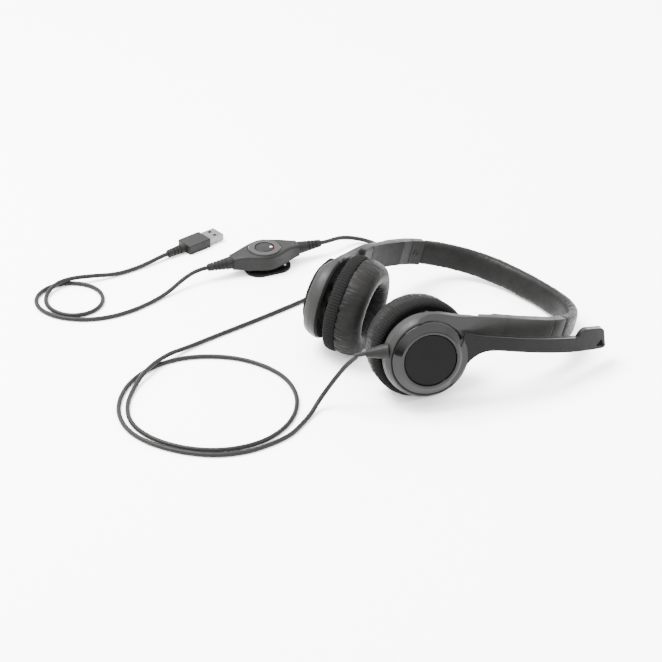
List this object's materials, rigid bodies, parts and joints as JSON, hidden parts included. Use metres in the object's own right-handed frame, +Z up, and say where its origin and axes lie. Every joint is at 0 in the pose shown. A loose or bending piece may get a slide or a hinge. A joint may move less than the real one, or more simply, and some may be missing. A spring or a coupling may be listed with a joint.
{
  "type": "headset",
  "caption": "Wired office headset with padded ear cups on swivels, sliding arms, a swinging microphone boom, and a USB cord with an inline controller",
  "frame": {"origin": "on the table, under the middle of the headset's box without its cord, controller and plug", "axes": "+X from the ear cups to the crown of the band, +Y from the wearer's left cup to the right cup, +Z up from the table; the headset lies on its back with the wearer's front up"},
  "size_m": [0.3133, 0.3155, 0.066],
  "materials": {
    "shell": "satin moulded plastic, fine texture",
    "gloss": "polished plastic, bevelled",
    "disc": "smooth satin plastic",
    "black": "matte moulded plastic",
    "leather": "soft wrinkled leatherette",
    "knit": "ribbed knit",
    "mesh": "thin open cloth",
    "foam": "soft polyurethane foam",
    "steel": "spring steel strip, brushed",
    "usb_metal": "bright drawn steel",
    "gold": "gilded, polished",
    "driver_metal": "painted pressed steel",
    "film": "thin film",
    "board": "printed board",
    "controller": "satin moulded plastic",
    "rocker": "polished plastic ring",
    "button": "satin plastic, slightly domed",
    "light": "lit red lens",
    "cord": "satin cord jacket",
    "boot": "satin rubber"
  },
  "bodies": {
    "left_arm": {"left_housing": "shell", "left_arm_cover": "black", "left_slide_tongue": "steel", "left_housing_cover": "black", "left_trim_retainer": "black", "left_cap_disc": "disc", "headset_relief": "boot", "cord_headset": "cord", "cord_usb": "cord", "controller_base": "controller", "controller_top": "controller", "controller_board": "board", "controller_boot_in": "boot", "controller_boot_out": "boot", "clip_pin": "steel", "clip_spring": "steel", "usb_grip": "controller", "usb_shell": "usb_metal", "usb_insulator": "black", "usb_contacts": "gold", "usb_boot": "boot"},
    "mic_boom": {"mic_boom": "shell", "mic_boom_cover": "black", "mic_capsule": "driver_metal", "mic_port_mesh": "mesh"},
    "left_knuckle": {"left_swivel_cross": "black"},
    "left_cup": {"left_cup_back": "disc", "left_cup_screws": "steel", "left_knit_ring": "knit", "left_baffle": "black", "left_driver": "driver_metal", "left_diaphragm": "film", "left_ear_screen": "mesh", "left_ear_cushion": "leather"},
    "headband": {"band_wrap": "leather", "band_core": "steel", "band_foam": "foam", "left_collar": "disc", "right_collar": "disc"},
    "right_arm": {"right_housing": "shell", "right_arm_cover": "black", "right_slide_tongue": "steel", "right_housing_cover": "black", "right_trim_retainer": "black", "right_cap_disc": "disc", "right_trim_ring": "gloss"},
    "right_knuckle": {"right_swivel_cross": "black"},
    "right_cup": {"right_cup_back": "disc", "right_cup_screws": "steel", "right_knit_ring": "knit", "right_baffle": "black", "right_driver": "driver_metal", "right_diaphragm": "film", "right_ear_screen": "mesh", "right_ear_cushion": "leather"},
    "volume_rocker": {"volume_rocker": "rocker"},
    "mute_button": {"mute_button": "button", "mute_light": "light"},
    "clip": {"controller_clip": "black"}
  },
  "joints": [
    {"name": "boom_swing", "type": "hinge", "parent": "left_arm", "child": "mic_boom", "pos_m": [-0.0589, -0.0368, 0.03488], "axis": [-0.4279, -0.891, 0.1515], "range_deg": [0, 130]},
    {"name": "left_turn", "type": "hinge", "parent": "left_arm", "child": "left_knuckle", "pos_m": [-0.05729, -0.03346, 0.03431], "axis": [0.3338, 0, 0.9426], "range_deg": [-10, 0.5]},
    {"name": "left_nod", "type": "hinge", "parent": "left_knuckle", "child": "left_cup", "pos_m": [-0.05729, -0.03346, 0.03431], "axis": [-0.88, 0.3584, 0.3116], "range_deg": [-6, 0.5]},
    {"name": "left_slide", "type": "slide", "parent": "left_arm", "child": "headband", "axis": [0.9426, 0, -0.3338], "range_m": [0, 0.015]},
    {"name": "right_slide", "type": "slide", "parent": "headband", "child": "right_arm", "axis": [-0.9426, 0, 0.3338], "range_m": [0, 0.015]},
    {"name": "right_turn", "type": "hinge", "parent": "right_arm", "child": "right_knuckle", "pos_m": [-0.05729, 0.04986, 0.03431], "axis": [-0.3338, 0, -0.9426], "range_deg": [-3, 8.5]},
    {"name": "right_nod", "type": "hinge", "parent": "right_knuckle", "child": "right_cup", "pos_m": [-0.05729, 0.04986, 0.03431], "axis": [0.8323, 0.4695, -0.2947], "range_deg": [-3, 5]},
    {"name": "volume_tilt", "type": "hinge", "parent": "left_arm", "child": "volume_rocker", "pos_m": [-0.0303, 0.1607, 0.014], "axis": [0.279, 0.9603, 0], "range_deg": [-3, 3], "stiffness_Nm_per_rad": 0.3},
    {"name": "mute_press", "type": "slide", "parent": "left_arm", "child": "mute_button", "axis": [0, 0, -1], "range_m": [0, 0.0006], "stiffness_N_per_m": 900},
    {"name": "clip_open", "type": "hinge", "parent": "left_arm", "child": "clip", "pos_m": [-0.01878, 0.15735, 0.0036], "axis": [-0.279, -0.9603, 0], "range_deg": [0, 14], "stiffness_Nm_per_rad": 0.15}
  ]
}
